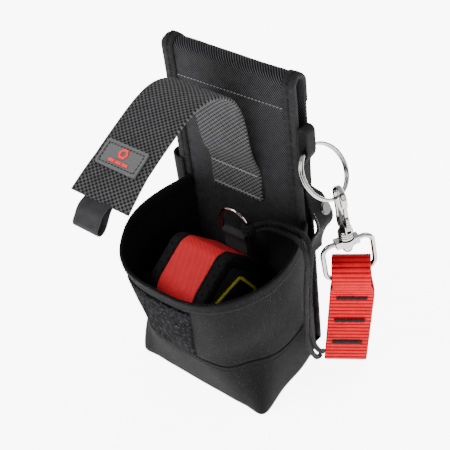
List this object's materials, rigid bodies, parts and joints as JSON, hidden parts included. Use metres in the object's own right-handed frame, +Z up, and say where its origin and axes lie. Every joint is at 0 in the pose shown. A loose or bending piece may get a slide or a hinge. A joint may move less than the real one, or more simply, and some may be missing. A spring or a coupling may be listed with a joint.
{
  "type": "electrician tool pouch",
  "caption": "Black fabric electrician's pouch with a sprung flap, a jacketed tape measure in the cup, a tether and a side chain of ring, snap hook, swivel eye and red tail tab.",
  "frame": {"origin": "on the underside of the base, under the front face of the back panel", "axes": "+X towards the side edge that carries the ring and hook; -Y out of the pouch's front; +Z up along the back panel"},
  "size_m": [0.1536, 0.1436, 0.2161],
  "materials": {
    "twill": "matte black woven twill",
    "binding_tape": "matte black woven tape",
    "webbing_black": "matte dark grey webbing",
    "board": "matte",
    "foam": "matte foam",
    "coated_fabric": "matte fine grain",
    "loop_fuzz": "matte fuzzy loop pile",
    "hook_pile": "matte hook tape",
    "label_rubber": "satin moulded rubber",
    "emblem_red": "satin red print",
    "webbing_red": "matte ribbed red webbing",
    "thread_black": "matte thread",
    "steel": "polished nickel plate",
    "zinc": "polished plated zinc casting",
    "spring_steel": "satin",
    "case_plastic": "fine texture dark grey",
    "inlay_yellow": "satin yellow",
    "elastic_black": "matte perforated elastic",
    "blade": "satin yellow enamel",
    "cord": "matte braided cord with light flecks"
  },
  "bodies": {
    "root": {"twill_panel": "twill", "belt_panel": "twill", "stiffener_board": "board", "foam_pad": "foam", "binding_left": "binding_tape", "binding_right": "binding_tape", "base_panel": "coated_fabric", "cup_boot": "coated_fabric", "cup_wall": "coated_fabric", "rim_binding": "binding_tape", "loop_patch": "loop_fuzz", "side_loop_left": "webbing_black", "ring_strap": "webbing_black", "press_stud": "steel", "strap_anchor": "webbing_black", "flap_anchor": "webbing_black", "tether_cord_upper": "cord", "tether_cord_lower": "cord"},
    "flap": {"flap_strap": "webbing_black", "hook_tape": "hook_pile", "flap_label": "label_rubber", "label_emblem": "emblem_red", "pull_tab": "binding_tape"},
    "ring": {"split_ring": "steel"},
    "hook": {"hook_body": "zinc", "gate_pin": "steel", "gate_spring": "spring_steel", "swivel_rivet": "steel"},
    "gate": {"gate": "zinc"},
    "eye": {"swivel_eye": "zinc"},
    "tab": {"tail_tab": "webbing_red", "tab_bartacks": "thread_black"},
    "tape": {"jacket_band": "webbing_red", "jacket_edge_left": "elastic_black", "jacket_edge_right": "elastic_black", "case_left": "case_plastic", "case_right": "case_plastic", "inlay_left": "inlay_yellow", "inlay_right": "inlay_yellow", "spool_post": "case_plastic", "blade_coil": "blade", "spool_drum": "case_plastic", "return_spring": "spring_steel", "d_ring_loop": "elastic_black"},
    "d_ring": {"d_ring": "steel", "tether_hitch": "cord"}
  },
  "joints": [
    {"name": "flap_hinge", "type": "hinge", "parent": "root", "child": "flap", "pos_m": [-0.005, -0.0012, 0.14], "axis": [1, 0, 0], "range_deg": [0, 40]},
    {"name": "ring_swing", "type": "hinge", "parent": "root", "child": "ring", "pos_m": [0.0486, 0.005, 0.1685], "axis": [0, 1, 0], "range_deg": [-60, 0]},
    {"name": "hook_swing", "type": "hinge", "parent": "ring", "child": "hook", "pos_m": [0.06906, 0.005, 0.14135], "axis": [0, 1, 0], "range_deg": [-40, 0]},
    {"name": "gate_pivot", "type": "hinge", "parent": "hook", "child": "gate", "pos_m": [0.07585, 0.0021, 0.12098], "axis": [-0.5436, -0.8371, -0.0619], "range_deg": [0, 22], "stiffness_Nm_per_rad": 0.01, "springref_deg": -9.74, "deforming": ["gate_spring"]},
    {"name": "eye_swivel", "type": "hinge", "parent": "hook", "child": "eye", "pos_m": [0.07291, 0.005, 0.10756], "axis": [-0.1132, 0, 0.9936], "continuous": true},
    {"name": "tab_swing", "type": "hinge", "parent": "eye", "child": "tab", "pos_m": [0.07574, 0.005, 0.08273], "axis": [0.8387, 0.5446, 0], "range_deg": [-10, 25]},
    {"name": "tape_lift", "type": "slide", "parent": "root", "child": "tape", "axis": [0, 0, 1], "range_m": [0, 0.03]},
    {"name": "d_ring_pivot", "type": "hinge", "parent": "tape", "child": "d_ring", "pos_m": [-0.0026, -0.011, 0.0905], "axis": [1, 0, 0], "range_deg": [-20, 60]}
  ]
}
